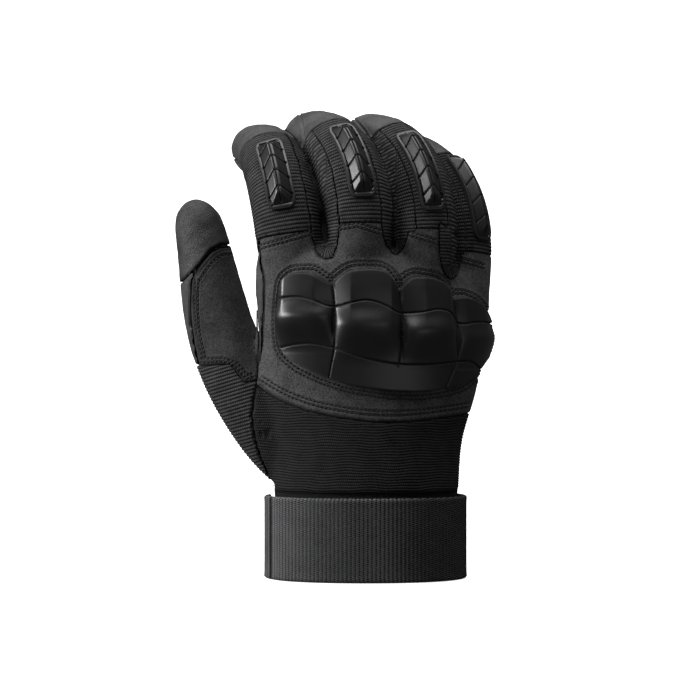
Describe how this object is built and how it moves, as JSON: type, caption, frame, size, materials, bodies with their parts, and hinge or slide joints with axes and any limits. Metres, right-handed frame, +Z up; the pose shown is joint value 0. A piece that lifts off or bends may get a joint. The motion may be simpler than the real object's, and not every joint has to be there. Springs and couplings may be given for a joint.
{
  "type": "impact glove",
  "caption": "Full-finger work glove for a right hand, with a moulded rubber knuckle guard, rubber finger guards, ribbed stretch panels, a leather palm and a wrist strap.",
  "frame": {"origin": "centre of the cuff's opening, on the plane of the strap's lower edge", "axes": "+Z up the hand from the wrist to the fingers, -Y out of the back of the hand, -X towards the thumb"},
  "size_m": [0.1556, 0.1, 0.2278],
  "materials": {
    "palm_leather": "matte synthetic leather",
    "tip_leather": "matte synthetic leather",
    "suede": "napped suede",
    "ribbed_knit": "ribbed stretch knit",
    "guard_rubber": "semi-gloss moulded rubber",
    "strap_webbing": "woven elastic webbing"
  },
  "bodies": {
    "root": {"palm": "palm_leather", "back_knit": "ribbed_knit", "knuckle_panel": "suede", "knuckle_guard": "guard_rubber", "index_back": "ribbed_knit", "middle_back": "ribbed_knit", "ring_back": "ribbed_knit", "little_back": "ribbed_knit", "index_web": "ribbed_knit", "middle_web": "ribbed_knit", "ring_web": "ribbed_knit", "index_tip": "tip_leather", "middle_tip": "tip_leather", "ring_tip": "tip_leather", "little_tip": "tip_leather", "index_guard": "guard_rubber", "middle_guard": "guard_rubber", "ring_guard": "guard_rubber", "little_guard": "guard_rubber", "thumb_tip": "tip_leather", "thumb_back": "suede", "thumb_gusset": "ribbed_knit", "wrist_strap": "strap_webbing"}
  },
  "joints": []
}
